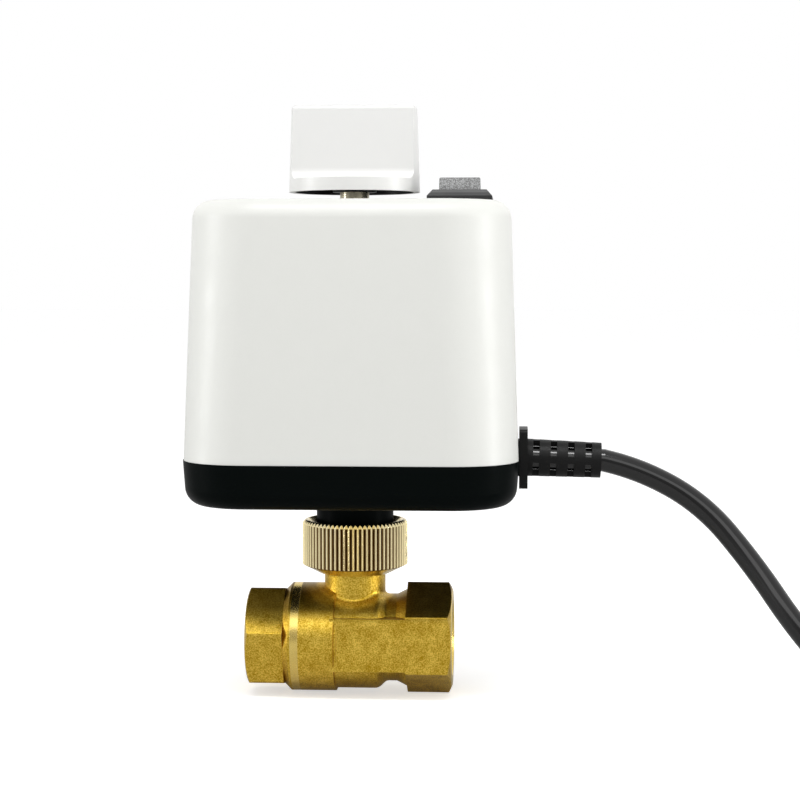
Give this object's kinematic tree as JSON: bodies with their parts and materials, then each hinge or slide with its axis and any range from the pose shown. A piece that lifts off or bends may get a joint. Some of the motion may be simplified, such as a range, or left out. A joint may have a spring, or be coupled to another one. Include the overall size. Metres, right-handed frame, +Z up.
{
  "type": "motorized ball valve",
  "caption": "Brass quarter-turn ball valve under a geared motor housing with a hand knob, a rocker switch, a coupling nut and a cable.",
  "frame": {"origin": "on the flow axis, where the inlet's thread wall begins", "axes": "X along the flow, from inlet to outlet; Z up the stem to the knob; the switch and the cable are on the +X side"},
  "size_m": [0.2371, 0.0998, 0.1614],
  "materials": {
    "forged_brass": "satin",
    "polished_brass": "polished",
    "stem_brass": "satin",
    "polished_ball": "polished",
    "seat_plastic": "matte",
    "rubber": "matte",
    "steel": "satin",
    "shaft_steel": "satin",
    "plate_steel": "satin",
    "gear_steel": "satin",
    "bush_bronze": "satin",
    "motor_case": "satin",
    "black_plastic": "satin",
    "white_cover": "satin",
    "white_knob": "satin",
    "switch_black": "matte",
    "rocker_grey": "matte",
    "cam_plastic": "matte",
    "gland_black": "satin",
    "terminal_white": "matte",
    "contact_brass": "satin",
    "cable_jacket": "gloss",
    "tie_white": "satin",
    "core_brown": "satin",
    "core_blue": "satin",
    "core_black": "satin",
    "tinned_copper": "satin"
  },
  "bodies": {
    "valve": {"valve_body": "forged_brass", "end_cap": "forged_brass", "inlet_seat": "seat_plastic", "outlet_seat": "seat_plastic", "thrust_washer": "seat_plastic", "gasket": "rubber", "snap_ring": "steel", "cover_screws": "steel", "plate_screws": "steel", "pillars": "steel", "idler_axle": "steel", "motor_screws": "steel", "switch_posts": "steel", "switch_nuts": "steel", "lower_plate": "plate_steel", "upper_plate": "plate_steel", "lower_bush": "bush_bronze", "upper_bush": "bush_bronze", "motor": "motor_case", "base": "black_plastic", "cover": "white_cover", "rocker_box": "switch_black", "open_limit_switch": "switch_black", "shut_limit_switch": "switch_black", "switch_spacer": "switch_black", "gland": "gland_black", "terminal_block": "terminal_white", "rocker_blades": "contact_brass", "terminal_screws": "contact_brass", "cable_entry": "cable_jacket", "cable": "cable_jacket", "cable_coil": "cable_jacket", "cable_tie": "tie_white", "core_brown": "core_brown", "core_blue": "core_blue", "core_black": "core_black", "lead_wires": "core_black", "core_tips": "tinned_copper"},
    "drive_shaft": {"drive_shaft": "shaft_steel", "drive_gear": "gear_steel", "open_cam": "cam_plastic", "shut_cam": "cam_plastic", "knob": "white_knob", "knob_screw": "steel"},
    "valve_stem": {"stem": "stem_brass", "stem_rings": "rubber", "ball": "polished_ball"},
    "idler": {"idler_gear": "gear_steel"},
    "motor_rotor": {"motor_pinion": "stem_brass"},
    "rocker": {"rocker": "rocker_grey"},
    "coupling_nut": {"coupling_nut": "polished_brass"}
  },
  "joints": [
    {"name": "valve_turn", "type": "hinge", "parent": "valve", "child": "drive_shaft", "pos_m": [0.028, 0, 0.1226], "axis": [0, 0, -1], "range_deg": [0, 90]},
    {"name": "stem_turn", "type": "hinge", "parent": "valve", "child": "valve_stem", "pos_m": [0.028, 0, 0.02], "axis": [0, 0, -1], "range_deg": [0, 90]},
    {"name": "idler_turn", "type": "hinge", "parent": "valve", "child": "idler", "pos_m": [0.00722, 0.012, 0.0625], "axis": [0, 0, -1], "range_deg": [-360, 0]},
    {"name": "rotor_turn", "type": "hinge", "parent": "valve", "child": "motor_rotor", "pos_m": [0.00325, -0.00184, 0.0673], "axis": [0, 0, -1], "range_deg": [0, 720]},
    {"name": "rocker_tilt", "type": "hinge", "parent": "valve", "child": "rocker", "pos_m": [0.057, 0, 0.1199], "axis": [1, 0, 0], "range_deg": [0, 24]},
    {"name": "nut_turn", "type": "hinge", "parent": "valve", "child": "coupling_nut", "pos_m": [0.028, 0, 0.025], "axis": [0, 0, 1], "continuous": true}
  ],
  "couplings": [
    {"joint": "stem_turn", "follows": "valve_turn", "ratio": 1},
    {"joint": "idler_turn", "follows": "valve_turn", "ratio": -4},
    {"joint": "rotor_turn", "follows": "valve_turn", "ratio": 8}
  ]
}
